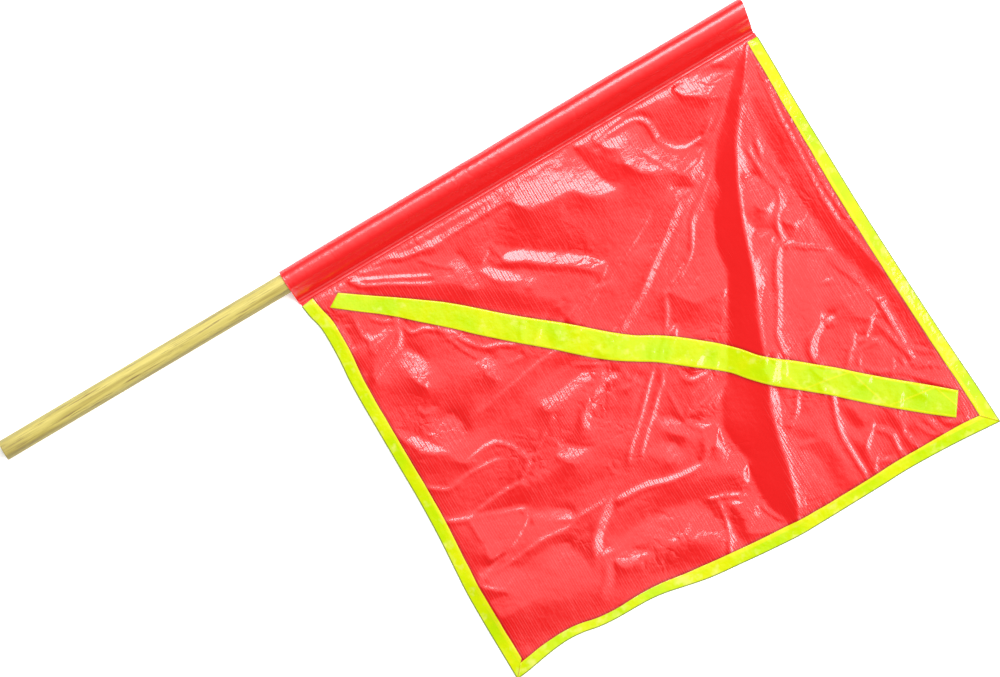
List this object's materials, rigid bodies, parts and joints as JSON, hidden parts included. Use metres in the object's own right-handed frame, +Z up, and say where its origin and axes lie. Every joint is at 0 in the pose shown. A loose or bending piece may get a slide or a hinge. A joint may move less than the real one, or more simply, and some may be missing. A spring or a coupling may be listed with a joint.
{
  "type": "warning flag",
  "caption": "Red coated-cloth warning flag on a round wooden staff, its free edges bound in lime reflective tape, with one diagonal strip of the tape on its face.",
  "frame": {"origin": "middle of the footprint, on the surface the flag lies on", "axes": "+X along the staff from its bare butt end to the tip, +Z up out of the flag's face, cloth spread towards -Y"},
  "size_m": [0.9234, 0.5264, 0.0238],
  "materials": {
    "staff_wood": "bare sanded dowel, straight grain",
    "red_vinyl": "glossy coated cloth, fine parallel ribs",
    "lime_tape": "glossy fluorescent retroreflective tape with welded rims",
    "staple_steel": "zinc-coated wire"
  },
  "bodies": {
    "staff_body": {"staff": "staff_wood", "pole_sleeve": "red_vinyl", "staple_grip_end": "staple_steel", "staple_middle": "staple_steel", "staple_tip_end": "staple_steel"},
    "cloth_body": {"flag_panel": "red_vinyl", "binding_grip_side": "lime_tape", "binding_fly_side": "lime_tape", "binding_tip_side": "lime_tape", "diagonal_strip": "lime_tape"}
  },
  "joints": [
    {"name": "cloth_swing", "type": "hinge", "parent": "staff_body", "child": "cloth_body", "pos_m": [0.17, 0.22002, 0.00095], "axis": [-1, 0, 0], "range_deg": [0, 120]}
  ]
}
